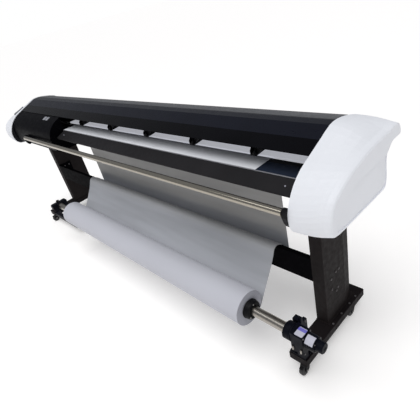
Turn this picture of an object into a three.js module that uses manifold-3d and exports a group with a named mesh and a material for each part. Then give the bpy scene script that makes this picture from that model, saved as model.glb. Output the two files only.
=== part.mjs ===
// Wide-format roll-fed printer cutter on a two-leg stand.
// Millimetres, +X to the machine's right, -Y to the operator, +Z up, wheels on Z = 0.
// Profiles are written in the machine's own (Y, Z) numbers, and FRONT_SHIFT moves the whole
// machine so that the origin lies under the middle of its footprint.
import * as THREE from 'three';
import { mergeVertices } from 'three/addons/utils/BufferGeometryUtils.js';
import Module from 'manifold-3d';

const wasm = await Module();
wasm.setup();

// ---------------------------------------------------------------- driving dimensions
const FRONT_SHIFT = 84.25;
const GAP = 0.4;
const CAP_IN = 1456;
const CAP_OUT = 1618;
const CAP_WALL = 4;
const LIP_INSET = 0.45;
const BODY = CAP_IN - GAP;
const STATION_END = -650;
const TABLE_LEFT = -645;

const LEG_IN = 1366;
const LEG_OUT = 1428.5;
const LEG_FRONT = -54;
const LEG_REAR = 186;
const FOOT_IN = 1363;
const FOOT_OUT = 1458;
const FOOT_FRONT = -291;
const FOOT_REAR = 248;
const FOOT_TOP = 118;
const FOOT_BOTTOM = 76;
const BODY_BOTTOM = 835;
const BEAM_LOW = 372;
const BEAM_TOP = 509;
const BEAM_FRONT = -54;
const BEAM_REAR = -29;

const WEB_LEFT = -640;
const WEB_RIGHT = 1200;
const WEB_T = 0.6;
const ROLLER = { y: -25, z: 948, r: 19.5 };
const PINCH_R = 11;
const PINCH_X = [-530, -115, 300, 710, 1115];
const LIFT = { y: 34, z: 990, r: 7 };
const ROD = { y: -281, z: 917, r: 16, left: -1109.6 };
const ROLL = { y: -329, z: 347, r: 87.5, bore: 38.5 };
const SHAFT_R = 24;
const SHAFT_LEFT = -940;
const CARRIAGE_X = -1000;
const CARRIAGE_W = 180;
const BELT = { y: 112, z: 1025, r: 9.8, end: 1420 };
const CASTER = { x: 1430, front: -262, rear: 170, trail: 18, r: 31, w: 22 };

// ---------------------------------------------------------------- helpers
const group = new THREE.Group();
group.name = 'printer_cutter';

function material(hex, roughness, metalness) {
  return new THREE.MeshStandardMaterial({ color: hex, roughness, metalness });
}

function add(name, geometry, hex, roughness, metalness = 0) {
  const mesh = new THREE.Mesh(geometry, material(hex, roughness, metalness));
  mesh.name = name;
  mesh.position.set(0, FRONT_SHIFT, 0);
  group.add(mesh);
  return mesh;
}

function outline(points, holes = []) {
  const shape = new THREE.Shape(points.map(([a, b]) => new THREE.Vector2(a, b)));
  for (const hole of holes) {
    shape.holes.push(new THREE.Path(hole.map(([a, b]) => new THREE.Vector2(a, b))));
  }
  return shape;
}

// A (Y, Z) outline extruded along X from x0 to x1.
function prismX(points, x0, x1, holes = []) {
  const geometry = new THREE.ExtrudeGeometry(outline(points, holes), {
    depth: x1 - x0, bevelEnabled: false, curveSegments: 8 });
  const turn = new THREE.Matrix4().makeBasis(
    new THREE.Vector3(0, 1, 0), new THREE.Vector3(0, 0, 1), new THREE.Vector3(1, 0, 0));
  geometry.applyMatrix4(turn);
  geometry.translate(x0, 0, 0);
  return geometry;
}

// An (X, Y) outline extruded along Z from z0 to z1.
function prismZ(points, z0, z1, holes = []) {
  const geometry = new THREE.ExtrudeGeometry(outline(points, holes), {
    depth: z1 - z0, bevelEnabled: false });
  geometry.translate(0, 0, z0);
  return geometry;
}

// An (X, Z) outline extruded along Y from y0 to y1.
function prismY(points, y0, y1, holes = []) {
  const geometry = new THREE.ExtrudeGeometry(outline(points, holes), {
    depth: y1 - y0, bevelEnabled: false });
  geometry.rotateX(Math.PI / 2);
  geometry.translate(0, y1, 0);
  return geometry;
}

function box(x0, x1, y0, y1, z0, z1) {
  const geometry = new THREE.BoxGeometry(x1 - x0, y1 - y0, z1 - z0);
  geometry.translate((x0 + x1) / 2, (y0 + y1) / 2, (z0 + z1) / 2);
  return geometry;
}

function lathe(profile, segments, close) {
  const points = profile.map(([r, h]) => new THREE.Vector2(r, h));
  if (close) points.push(points[0].clone());
  return new THREE.LatheGeometry(points, segments);
}

// Turned part with its axis along X through (y, z); the profile is [radius, x] pairs.
function turnedX(profile, y, z, segments = 24, close = false) {
  const geometry = lathe(profile, segments, close);
  geometry.rotateZ(-Math.PI / 2);
  geometry.translate(0, y, z);
  return geometry;
}

// Turned part with its axis along Z through (x, y); the profile is [radius, z] pairs.
function turnedZ(profile, x, y, segments = 20, close = false) {
  const geometry = lathe(profile, segments, close);
  geometry.rotateX(Math.PI / 2);
  geometry.translate(x, y, 0);
  return geometry;
}

function ringPoints(y, z, r, count, from = 0, to = 2 * Math.PI) {
  const points = [];
  const full = Math.abs(to - from - 2 * Math.PI) < 1e-6;
  const steps = full ? count : count + 1;
  for (let i = 0; i < steps; i += 1) {
    const a = from + ((to - from) * i) / count;
    points.push([y + r * Math.cos(a), z + r * Math.sin(a)]);
  }
  return points;
}

// A closed thin wall that follows an open line of points, with the wall on its right side.
function wallAlong(line, thickness) {
  const inner = line.map((p, i) => {
    const before = line[Math.max(i - 1, 0)];
    const after = line[Math.min(i + 1, line.length - 1)];
    const a = unit(p[0] - before[0], p[1] - before[1]);
    const b = unit(after[0] - p[0], after[1] - p[1]);
    const first = a || b;
    const second = b || a;
    const n = unit(first[1] + second[1], -first[0] - second[0]);
    const spread = n[0] * second[1] - n[1] * second[0];
    return [p[0] + (n[0] * thickness) / spread, p[1] + (n[1] * thickness) / spread];
  });
  return [...line, ...inner.reverse()];
}

function unit(x, y) {
  const length = Math.hypot(x, y);
  return length < 1e-9 ? null : [x / length, y / length];
}

function solid(geometry) {
  const bare = geometry.clone();
  bare.deleteAttribute('normal');
  bare.deleteAttribute('uv');
  const merged = mergeVertices(bare, 1e-4);
  return new wasm.Manifold(new wasm.Mesh({
    numProp: 3,
    vertProperties: new Float32Array(merged.attributes.position.array),
    triVerts: new Uint32Array(merged.index.array) }));
}

function fromSolid(body) {
  const mesh = body.getMesh();
  const geometry = new THREE.BufferGeometry();
  geometry.setAttribute('position', new THREE.BufferAttribute(new Float32Array(mesh.vertProperties), 3));
  geometry.setIndex(new THREE.BufferAttribute(new Uint32Array(mesh.triVerts), 1));
  return geometry;
}

function join(list) {
  return fromSolid(list.slice(1).reduce((sum, g) => sum.add(solid(g)), solid(list[0])));
}

function cut(geometry, list) {
  return fromSolid(list.reduce((sum, g) => sum.subtract(solid(g)), solid(geometry)));
}

function common(geometry, other) {
  return fromSolid(solid(geometry).intersect(solid(other)));
}

function mirrorX(geometry) {
  const source = geometry.index ? geometry.toNonIndexed() : geometry.clone();
  source.scale(-1, 1, 1);
  const a = source.attributes.position.array;
  for (let i = 0; i < a.length; i += 9) {
    for (let k = 0; k < 3; k += 1) {
      const keep = a[i + 3 + k];
      a[i + 3 + k] = a[i + 6 + k];
      a[i + 6 + k] = keep;
    }
  }
  source.computeVertexNormals();
  return source;
}

// ---------------------------------------------------------------- end caps
// Control points, once round the cap from its rear top: inner edge (Y, Z), outer shoulder (Y, Z).
const CAP_PROFILE = [
  [196, 1094, 200, 1072], [135, 1112, 135, 1071], [75, 1123, 80, 1070], [24, 1121, 24, 1067],
  [-41, 1096, -32, 1061], [-111, 1068, -90, 1050], [-178, 1041, -140, 1038], [-228, 1004, -204, 1013],
  [-264, 955, -250, 984], [-281, 913, -273, 948], [-281, 870, -281, 904], [-268, 836, -275, 866],
  [-240, 815, -252, 843], [-180, 809, -180, 834], [-60, 811, -60, 832], [70, 815, 70, 830],
  [120, 824, 118, 834], [137, 852, 134, 856], [139, 905, 137, 905], [136, 960, 134, 960],
  [147, 991, 145, 990], [176, 1008, 174, 1009], [230, 1009, 228, 1009], [246, 1021, 242, 1019],
  [237, 1058, 236, 1046], [222, 1082, 223, 1064]];

function loopPoints(pairs, per) {
  const curve = new THREE.CatmullRomCurve3(
    pairs.map(([y, z]) => new THREE.Vector3(0, y, z)), true, 'centripetal');
  const points = [];
  for (let i = 0; i < pairs.length * per; i += 1) {
    const p = curve.getPoint(i / (pairs.length * per));
    points.push([p.y, p.z]);
  }
  return points;
}

const CAP_A = loopPoints(CAP_PROFILE.map(([y, z]) => [y, z]), 2);
const CAP_B = loopPoints(CAP_PROFILE.map((p) => [p[2], p[3]]), 2);

// Moves every point of a closed loop (anticlockwise seen from +X) inwards by d.
function inset(loop, distance) {
  return loop.map((p, i) => {
    const d = distance * (p[0] > 140 ? LIP_INSET : 1);
    const a = loop[(i + loop.length - 1) % loop.length];
    const b = loop[(i + 1) % loop.length];
    const t = unit(b[0] - a[0], b[1] - a[1]);
    return [p[0] - t[1] * d, p[1] + t[0] * d];
  });
}

function blend(a, b, t) {
  return a.map((p, i) => [p[0] + (b[i][0] - p[0]) * t, p[1] + (b[i][1] - p[1]) * t]);
}

// A closed solid skinned over loops of equal length, given as [x, loop], with flat ends.
function loft(rings) {
  const count = rings[0][1].length;
  const position = [];
  const index = [];
  for (const [x, loop] of rings) {
    for (const [y, z] of loop) position.push(x, y, z);
  }
  for (let r = 0; r + 1 < rings.length; r += 1) {
    for (let i = 0; i < count; i += 1) {
      const a = r * count + i;
      const b = r * count + ((i + 1) % count);
      index.push(a, b, a + count, b, b + count, a + count);
    }
  }
  const end = (r, flip) => {
    const contour = rings[r][1].map(([y, z]) => new THREE.Vector2(y, z));
    for (const [a, b, c] of THREE.ShapeUtils.triangulateShape(contour, [])) {
      const f = [a, b, c].map((k) => k + r * count);
      index.push(f[0], flip ? f[2] : f[1], flip ? f[1] : f[2]);
    }
  };
  end(0, true);
  end(rings.length - 1, false);
  const geometry = new THREE.BufferGeometry();
  geometry.setAttribute('position', new THREE.Float32BufferAttribute(position, 3));
  geometry.setIndex(index);
  return geometry;
}

const CAP_RINGS = [[1456, 0, 0], [1498, 0.1, 0], [1540, 0.36, 0], [1575, 0.72, 0],
  [1594, 0.97, 1], [1606, 1, 4], [1614, 1, 8], [CAP_OUT, 1, 14]];

function capOuter() {
  return loft(CAP_RINGS.map(([x, t, d]) => [x, inset(blend(CAP_A, CAP_B, t), d)]));
}

function capInner() {
  const rings = [[1450, 0], [1498, 0.1], [1540, 0.36], [1575, 0.72], [1590, 0.97]];
  const list = rings.map(([x, t]) => [x, inset(blend(CAP_A, CAP_B, t), CAP_WALL)]);
  list.push([1602, inset(CAP_B, 8)]);
  return loft(list);
}

// Side panel, sunk below a horizontal crease that runs forward from the rear.
const SIDE_PANEL = [[122, 978], [20, 980], [-65, 980], [-112, 976], [-165, 954], [-207, 926],
  [-236, 896], [-243, 874], [-226, 856], [-180, 849], [0, 846], [85, 846], [114, 850], [123, 862]];

function capShell() {
  return cut(capOuter(), [capInner(), prismX(SIDE_PANEL, 1613.5, 1630)]);
}

const capRight = capShell();
add('end_cap_right', capRight, 0xe6e8ee, 0.35);
add('end_cap_left', mirrorX(capRight), 0xe6e8ee, 0.35);

// Side frames: steel plates in the caps' open sides that carry the beams.
const framePlate = cut(prismX(inset(CAP_A, CAP_WALL + 3), CAP_IN + GAP, CAP_IN + GAP + 6),
  [prismX(ringPoints(-190, 900, 30, 12), 1450, 1470), prismX(ringPoints(66, 896, 26, 12), 1450, 1470)]);
add('side_frame_right', framePlate, 0x1c1d20, 0.5, 0.6);
add('side_frame_left', mirrorX(framePlate), 0x1c1d20, 0.5, 0.6);

// ---------------------------------------------------------------- stand
const legOutline = [[LEG_IN, LEG_FRONT], [LEG_OUT, LEG_FRONT], [LEG_OUT, 118], [1413, LEG_REAR],
  [LEG_IN, LEG_REAR]];
const legBore = [[LEG_IN + 3, LEG_FRONT + 3], [LEG_IN + 3, LEG_REAR - 3], [1411, LEG_REAR - 3],
  [LEG_OUT - 3, 117.5], [LEG_OUT - 3, LEG_FRONT + 3]];
const leg = prismZ(legOutline, FOOT_TOP + GAP, BODY_BOTTOM - GAP, [legBore]);
add('leg_right', leg, 0x2b2726, 0.55, 0.2);
add('leg_left', mirrorX(leg), 0x2b2726, 0.55, 0.2);

const footSection = [[FOOT_IN, FOOT_BOTTOM], [FOOT_OUT, FOOT_BOTTOM], [FOOT_OUT, FOOT_TOP - 2],
  [FOOT_OUT - 2, FOOT_TOP], [FOOT_IN + 2, FOOT_TOP], [FOOT_IN, FOOT_TOP - 2]];
const foot = cut(prismY(footSection, FOOT_FRONT, FOOT_REAR),
  [box(FOOT_IN + 3, FOOT_OUT - 3, FOOT_FRONT + 3, FOOT_REAR - 3, FOOT_BOTTOM - 5, FOOT_TOP - 6.2)]);
add('foot_right', foot, 0x1d1b1c, 0.5, 0.2);
add('foot_left', mirrorX(foot), 0x1d1b1c, 0.5, 0.2);

// Flat crossbeam tube between the legs, with a flange at each end that reaches back along the leg.
const beamEnd = LEG_IN - GAP;
const beamTube = prismX([[BEAM_FRONT, BEAM_LOW], [BEAM_REAR, BEAM_LOW], [BEAM_REAR, BEAM_TOP - 3],
  [BEAM_REAR - 3, BEAM_TOP], [BEAM_FRONT + 3, BEAM_TOP], [BEAM_FRONT, BEAM_TOP - 3]],
-beamEnd + 2, beamEnd - 2, [[[BEAM_FRONT + 2.5, BEAM_LOW + 2.5], [BEAM_FRONT + 2.5, BEAM_TOP - 4],
  [BEAM_FRONT + 4, BEAM_TOP - 2.5], [BEAM_REAR - 4, BEAM_TOP - 2.5], [BEAM_REAR - 2.5, BEAM_TOP - 4],
  [BEAM_REAR - 2.5, BEAM_LOW + 2.5]]]);
const flangeShape = [[BEAM_FRONT, BEAM_LOW], [60, BEAM_LOW], [60, BEAM_TOP], [BEAM_FRONT, BEAM_TOP]];
const flangeHole = ringPoints(-41.5, 440, 9, 12);
add('crossbeam', join([beamTube, prismX(flangeShape, beamEnd - 5, beamEnd, [flangeHole]),
  prismX(flangeShape, -beamEnd, -beamEnd + 5, [flangeHole])]), 0x121013, 0.4, 0.2);

// ---------------------------------------------------------------- body beams and covers
add('main_beam', prismX([[10, BODY_BOTTOM], [122, BODY_BOTTOM], [122, 957], [10, 957]], -BODY, BODY,
  [[[13, BODY_BOTTOM + 3], [13, 954], [119, 954], [119, BODY_BOTTOM + 3]]]), 0x1b1c1f, 0.5, 0.5);

add('table_beam', prismX([[-195, 932], [-72, 843], [-52, 843], [-52, 957], [-133, 957], [-192, 936]],
  -BODY, BODY, [[[-190.5, 932], [-134, 953.5], [-55, 953.5], [-55, 846], [-71, 846]]]),
0x141416, 0.5, 0.4);

// Top cover behind the lid, rolling over into the rear lip.
add('top_cover', prismX(wallAlong([[75, 1119.2], [90, 1117.4], [140, 1107], [196, 1091], [222, 1077],
  [236, 1050], [243, 1022], [236, 1012], [200, 1011]].reverse(), -3), -BODY, BODY), 0x77777a, 0.45);
// Rear panel below the lip.
add('rear_cover', prismX(wallAlong([[134, 838], [139, 848], [139, 966], [150, 994],
  [170, 1010], [190, 1012]], -3), -BODY, BODY), 0x26272b, 0.5);

// Station cover: black nose in line with the caps, with an end wall towards the table.
const nose = [[-122, 1060.4], [-178, 1038], [-221, 1003], [-245, 962], [-253, 915], [-251, 870],
  [-238, 840], [-208, 827], [-60, 827]];
const noseWall = wallAlong(nose.slice().reverse(), 3);
const endWall = [[-123, 1057.2], [-177, 1035.5], [-219, 1001], [-242.5, 961], [-250, 915], [-248, 871],
  [-236.5, 842], [-207.5, 829.5], [-100, 829.5], [-100, 858], [-199, 930], [-196, 938.5], [-137, 960],
  [-123, 963]];
add('station_cover', join([prismX(noseWall, -BODY, STATION_END),
  prismX(endWall, STATION_END - 3, STATION_END)]), 0x0f0f14, 0.2);

// Lid: smoked window from the hinge line to the fold, glossy rail from the fold to the front edge.
add('lid_window', prismX(wallAlong([[-45.5, 1090.5], [25, 1118.5], [68, 1119.2]].reverse(), -4), -BODY, BODY),
  0x20232a, 0.25);
add('lid_front_rail', prismX(wallAlong([[-46, 1090.3], [-119, 1063.8]], -4), -BODY, BODY),
  0x0c0c12, 0.12);

// ---------------------------------------------------------------- paper table
// Seams part the platen into plates, and the last plate is the bare one beside the paper.
const seams = [-27, 588, 1203].map((x) => box(x - 0.6, x + 0.6, -140, -40, 966.3, 970));
add('platen', cut(prismX([[-129.5, 957.5], [-47, 957.5], [-47, 966], [-48.5, 967.5], [-128.5, 967.5],
  [-129.5, 966.5]], TABLE_LEFT, BODY), seams), 0x0f1620, 0.35, 0.3);
add('platen_trim', prismX([[-133.5, 957.5], [-130, 957.5], [-130, 968.6], [-133, 968.2], [-133.5, 967.4]],
  TABLE_LEFT, BODY), 0xa8b0bc, 0.25, 0.9);
add('apron', prismX(wallAlong([[-206, 930], [-206, 938], [-135.5, 966]].reverse(), -3),
  -620, BODY), 0x262629, 0.45, 0.1);
add('back_strip', prismX([[-3.5, 957.5], [43, 957.5], [43, 967.5], [-2.5, 967.5], [-3.5, 966.5]],
  -790, BODY), 0xd2d2da, 0.3, 0.8);

add('feed_roller', turnedX([[0, -1440], [9, -1440], [9, -646], [ROLLER.r - 1, -646], [ROLLER.r, -645],
  [ROLLER.r, 1404], [ROLLER.r - 1, 1405], [9, 1405], [9, 1450], [0, 1450]], ROLLER.y, ROLLER.z, 18),
0x55585c, 0.6, 0.6);

const pinchZ = ROLLER.z + ROLLER.r + 0.35 + WEB_T + 0.35 + PINCH_R;
const liftParts = [turnedX([[0, -1440], [LIFT.r, -1440], [LIFT.r, 1450], [0, 1450]], LIFT.y, LIFT.z, 10)];
for (const x of PINCH_X) {
  const body = [[-10, 973], [38, 976], [46, 983], [46, 998], [38, 1006], [-10, 1010]];
  const cheek = [[-38, 977], [-34, 972.5], [-8, 972.5], [-8, 1010], [-26, 1010], [-38, 996]];
  const wing = [[x + 10, 980], [x + 15, 980], [x + 44, 1003], [x + 44, 1010], [x + 10, 1010]];
  liftParts.push(prismX(body, x - 14, x + 14), prismX(cheek, x - 14, x - 8.5),
    prismX(cheek, x + 8.5, x + 14), prismY(wing, -26, -18));
}
add('pinch_lift', join(liftParts), 0x101014, 0.4, 0.2);
PINCH_X.forEach((x, i) => {
  add(`pinch_wheel_${i + 1}`, turnedX([[0, x - 8.1], [3, x - 8.1], [3, x - 7], [PINCH_R, x - 7],
    [PINCH_R, x + 7], [3, x + 7], [3, x + 8.1], [0, x + 8.1]], ROLLER.y, pinchZ, 12), 0x24242a, 0.7);
});

// ---------------------------------------------------------------- carriage and its drive
const railEnd = 1395;
const railShape = [[52, 957.5], [112, 957.5], [112, 963], [95, 963], [95, 1051], [60, 1051],
  [60, 1042], [85, 1042], [85, 963], [52, 963]];
add('guide_rail', join([prismX(railShape, -railEnd, railEnd),
  box(railEnd - 5, 1440, 96, 128, 957.6, 1008),
  turnedZ([[0, 1007], [5, 1007], [5, 1018.1], [0, 1018.1]], BELT.end, BELT.y, 12)]),
0x9a9da3, 0.35, 0.9);

const carriageBody = [[-112, 992], [-52, 992], [-52, 1024], [45, 1024], [45, 1032], [57, 1032],
  [57, 1053], [98, 1053], [98, 1033], [104, 1033], [104, 1082], [98, 1087], [15, 1087], [-60, 1073],
  [-108, 1053], [-112, 1048]];
add('carriage_body', prismX(carriageBody, CARRIAGE_X - CARRIAGE_W / 2, CARRIAGE_X + CARRIAGE_W / 2),
  0x2a2b30, 0.4);
add('print_heads', prismX([[-108, 974], [-56, 974], [-56, 991.6], [-108, 991.6]],
  CARRIAGE_X - 70, CARRIAGE_X + 60), 0x3a3c44, 0.35);
add('cutter_holder', turnedZ([[0, 972.5], [1.2, 974], [3, 980], [7, 983], [7, 1030], [9.5, 1031],
  [9.5, 1046], [0, 1046]], CARRIAGE_X + CARRIAGE_W / 2 + 10, -84, 12), 0xb8bac0, 0.3, 0.8);

const beltOuter = [];
const beltInner = [];
for (const [list, r] of [[beltOuter, BELT.r + 1.5], [beltInner, BELT.r]]) {
  for (const side of [1, -1]) {
    const from = side > 0 ? -Math.PI / 2 : Math.PI / 2;
    for (let i = 0; i <= 8; i += 1) {
      const a = from + (Math.PI * i) / 8;
      list.push([side * BELT.end + r * Math.cos(a), BELT.y + r * Math.sin(a)]);
    }
  }
}
add('drive_belt', prismZ(beltOuter, BELT.z - 5, BELT.z + 5, [beltInner.reverse()]), 0x17171a, 0.8);
for (const [name, side] of [['belt_pulley_left', -1], ['belt_pulley_right', 1]]) {
  add(name, turnedZ([[0, 1018.5], [12.5, 1018.5], [12.5, 1019.6], [BELT.r - 0.4, 1019.6],
    [BELT.r - 0.4, 1030.4], [12.5, 1030.4], [12.5, 1031.6], [0, 1031.6]], side * BELT.end, BELT.y, 12),
  0xb0b2b8, 0.35, 0.9);
}
add('carriage_motor', join([box(-1441, -1399, 91, 131, 957.6, 1008),
  box(-1439, -1401, 93, 131, 1007, 1012), turnedZ([[0, 1011], [5, 1011], [5, 1018.1], [0, 1018.1]],
    -BELT.end, BELT.y, 12)]), 0x2c2d31, 0.4, 0.5);

// ---------------------------------------------------------------- front guide rod
add('front_rod', turnedX([[0, ROD.left], [ROD.r - 1, ROD.left], [ROD.r, ROD.left + 1], [ROD.r, 1436],
  [ROD.r - 1, 1437], [0, 1437]], ROD.y, ROD.z, 28), 0xd8d4c8, 0.12, 1);
const rodBracket = cut(prismX([[-293, 903], [-291, 926], [-284, 934], [-272, 935], [-262, 928],
  [-257, 915], [-257, 868], [-262, 856], [-272, 854], [-283, 872]], 1437.4, BODY),
[prismX(ringPoints(-270, 868, 4, 10), 1430, 1446)]);
add('rod_bracket_right', rodBracket, 0x141417, 0.4, 0.2);
// The rod stops short on the left, in a bracket on the station cover.
add('rod_bracket_left', cut(prismX([[-293, 903], [-291, 926], [-284, 934], [-272, 935], [-254, 930],
  [-254, 864], [-262, 856], [-272, 858], [-283, 872]], ROD.left - 18.4, ROD.left - GAP),
[prismX(ringPoints(-270, 872, 4, 10), ROD.left - 8, ROD.left + 2)]), 0x141417, 0.4, 0.2);

// ---------------------------------------------------------------- roll, shaft and take-up drive
const R = ROLL;
add('roll_shaft', turnedX([[21, SHAFT_LEFT], [SHAFT_R - 0.8, SHAFT_LEFT], [SHAFT_R, SHAFT_LEFT + 1], [SHAFT_R, 1410.6],
  [21, 1410.6]], R.y, R.z, 28, true), 0xc9c4ba, 0.2, 1);
add('media_roll', turnedX([[R.bore, WEB_LEFT + 0.8], [R.r - 0.8, WEB_LEFT], [R.r, WEB_LEFT + 0.8],
  [R.r, WEB_RIGHT - 0.8], [R.r - 0.8, WEB_RIGHT], [R.bore, WEB_RIGHT - 0.8]], R.y, R.z, 32, true),
0xb9bac4, 0.6);
for (const [name, side, x] of [['core_plug_right', 1, WEB_RIGHT], ['core_plug_left', -1, WEB_LEFT]]) {
  const bore = SHAFT_R + GAP;
  const steps = [[bore, -30], [R.bore - GAP, -30], [R.bore - GAP, GAP + 0.2], [47, GAP + 0.2],
    [49, 3], [46, 26], [42, 31], [bore, 31]];
  const profile = steps.map(([r, s]) => [r, x + side * s]);
  add(name, turnedX(side > 0 ? profile : profile.reverse(), R.y, R.z, 20, true), 0x23242c, 0.5);
}
add('drive_chuck', turnedX([[0, 1411], [38.5, 1411], [40, 1412.5], [40, 1448], [38.5, 1449.5],
  [30, 1449.5], [30, 1451.6], [0, 1451.6]], R.y, R.z, 24), 0x16181f, 0.4, 0.3);

// Take-up drive: a plate with a lifting ear, the gear case on its outside, then the motor.
const drivePlate = [[-362, 275], [-266, 275], [-262, 279], [-262, 384], [-266, 388], [-288, 388],
  [-288, 413], [-291, 417], [-297, 417], [-300, 413], [-300, 388], [-362, 388], [-366, 384], [-366, 279]];
const gearCase = [[-362, 280], [-304, 280], [-300, 284], [-300, 382], [-304, 386], [-362, 386],
  [-366, 382], [-366, 284]];
add('takeup_gearbox', join([prismX(drivePlate, 1452, 1466), prismX(gearCase, 1465, 1510)]),
  0x1a1c26, 0.4, 0.3);
add('takeup_motor', turnedX([[0, 1510.4], [34, 1510.4], [34, 1513], [33, 1514], [33, 1552],
  [34, 1553], [34, 1556], [24.5, 1556], [24.5, 1585], [22, 1588], [0, 1588]], R.y, R.z, 24),
0x1c2030, 0.4, 0.4);
const gusset = [[-263, 127], [-232, 127], [-263, 196]];
add('takeup_bracket', join([box(FOOT_IN + 3, 1451.6, -288, -226, FOOT_TOP + GAP, FOOT_TOP + 10),
  box(1411, 1451.6, -288, -262, 127, 374), prismX(gusset, 1427, 1436)]), 0x17181d, 0.45, 0.3);

// Left roll support: an arm from the inner side of the foot, a post and a bearing block.
const armEnd = -FOOT_IN + GAP;
const postL = SHAFT_LEFT - 8;
const postR = SHAFT_LEFT + 32;
const bearing = [[-262, 306], [-262, 366], [-268, 372], [-384, 372], [-392, 364], [-392, 334],
  [-380, 318], [-345, 300], [-290, 300]];
add('roll_support', cut(join([box(armEnd, armEnd + 6, -290, -222, FOOT_BOTTOM + 1, FOOT_TOP),
  box(armEnd + 5, postR, -288, -250, FOOT_BOTTOM + 3, FOOT_TOP - 6),
  box(postL, postR, -288, -262, FOOT_TOP - 7, 320), prismX(bearing, postL, postR)]),
[prismX(ringPoints(R.y, R.z, SHAFT_R + 0.8, 32), postL - 5, postR + 5)]), 0x17181d, 0.45, 0.3);

// ---------------------------------------------------------------- paper web
// From the roll's rear over the crossbeam, round a slack loop, up and over the feed roller to the trim.
const wrapR = ROLLER.r + 0.35 + WEB_T;
const climb = [[-257.6, 290.8], [-200, 369], [-133.6, 461], [-112, 500], [-101, 523], [-93, 532]];
const crest = [[-80, 537], [-64, 534], [-46, 522.5], [-29, 511], [-22.5, 500]];
const slack = ringPoints(-4.5, 440, 15.5, 8, Math.PI, 2 * Math.PI);
const rise = [[11.2, 600], [10.6, 780], [8, 835], [-1, 880]];
const wrap = ringPoints(ROLLER.y, ROLLER.z, wrapR, 8, 0, Math.PI / 2);
const path = [...climb, ...crest, ...slack, ...rise, ...wrap,
  [-60, ROLLER.z + wrapR], [-129.6, ROLLER.z + wrapR]];
add('media_web', prismX(wallAlong(path, -WEB_T), WEB_LEFT, WEB_RIGHT), 0xc3c6cf, 0.6);

// ---------------------------------------------------------------- casters
function forkAt(x, y) {
  const w = CASTER.w / 2;
  const wheelY = y - CASTER.trail;
  const cheek = [[y + 16, 68], [y - 18, 68], [wheelY - 13, 40], [wheelY - 9, 22], [wheelY + 9, 22],
    [wheelY + 14, 40]];
  return join([turnedZ([[0, 64], [21, 64], [24, 67], [24, 72], [20, 75.4], [9, 75.4], [9, 111.4], [0, 111.4]],
    x, y, 14), prismX(cheek, x - w - 6, x - w - 1.5), prismX(cheek, x + w + 1.5, x + w + 6),
  box(x - w - 6, x + w + 6, y - 18, y + 16, 64, 68)]);
}

function wheelAt(x, y) {
  const w = CASTER.w / 2;
  const r = CASTER.r;
  return turnedX([[0, x - w - 1], [9, x - w - 1], [9, x - w], [r - 2.5, x - w],
    [r, x - w + 3], [r, x + w - 3], [r - 2.5, x + w], [9, x + w], [9, x + w + 1], [0, x + w + 1]], y - CASTER.trail, r, 18);
}

for (const [side, sign] of [['right', 1], ['left', -1]]) {
  for (const [end, y] of [['front', CASTER.front], ['rear', CASTER.rear]]) {
    add(`caster_fork_${end}_${side}`, forkAt(sign * CASTER.x, y), 0x18181a, 0.45, 0.3);
    add(`caster_wheel_${end}_${side}`, wheelAt(sign * CASTER.x, y), 0x1c1c1e, 0.7);
  }
}

// ---------------------------------------------------------------- controls
// Panel: a patch of the left cap's own surface, lifted off it, with a pocket for the button.
function capPatch(i0, i1, r0, r1, low, high) {
  const rings = CAP_RINGS.slice(r0, r1 + 1).map(([x, t]) => [x, blend(CAP_A, CAP_B, t)]);
  const loops = rings.map(([x, loop]) => {
    const line = loop.slice(i0, i1 + 1);
    const top = line.map(([y, z]) => [y, z + high]);
    const bottom = line.map(([y, z]) => [y, z + low]).reverse();
    return [x, [...top, ...bottom]];
  });
  return loft(loops);
}
const buttonHole = box(1516, 1532, -86, -74, 1050, 1100);
const buttonPlan = box(1517, 1531, -85, -75, 1050, 1100);
add('control_panel', mirrorX(cut(capPatch(9, 12, 1, 3, 0.6, 6), [buttonHole])), 0x8f9196, 0.4);
add('panel_button', mirrorX(common(capPatch(9, 12, 1, 3, 2.4, 8), buttonPlan)), 0x2f6fb5, 0.4);

// Mains inlet with its rocker switch, on the rear cover.
const inlet = cut(prismY([[1288, 880], [1342, 880], [1342, 942], [1288, 942]], 139.4, 147.4),
  [box(1300, 1330, 141.4, 150, 886, 910), box(1298, 1332, 141.4, 150, 917, 936)]);
add('power_inlet', inlet, 0x131316, 0.5);
add('power_switch', prismX([[143.6, 920], [149, 920], [148, 926.5], [149, 933], [143.6, 933]],
  1299.5, 1330.5), 0x1b1b1f, 0.35);

group.updateMatrixWorld(true);
export default group;
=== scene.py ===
import math
import random

import bmesh
import bpy
from mathutils import Matrix, Quaternion, Vector


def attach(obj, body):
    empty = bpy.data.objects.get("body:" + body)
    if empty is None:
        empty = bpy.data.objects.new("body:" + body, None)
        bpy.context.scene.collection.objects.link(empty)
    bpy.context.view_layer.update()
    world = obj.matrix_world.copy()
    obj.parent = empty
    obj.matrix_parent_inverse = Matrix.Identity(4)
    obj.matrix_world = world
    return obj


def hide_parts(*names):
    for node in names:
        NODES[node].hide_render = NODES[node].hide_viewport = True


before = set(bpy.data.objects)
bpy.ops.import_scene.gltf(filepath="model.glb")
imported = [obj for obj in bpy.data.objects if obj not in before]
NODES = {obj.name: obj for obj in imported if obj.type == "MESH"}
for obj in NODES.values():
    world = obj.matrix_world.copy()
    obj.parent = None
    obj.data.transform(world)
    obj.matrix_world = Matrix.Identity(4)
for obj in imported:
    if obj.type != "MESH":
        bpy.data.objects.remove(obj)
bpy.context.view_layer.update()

SHIFT = 84.25          # mm, from the machine's own Y numbers to the frame's
MM = 0.001

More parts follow.
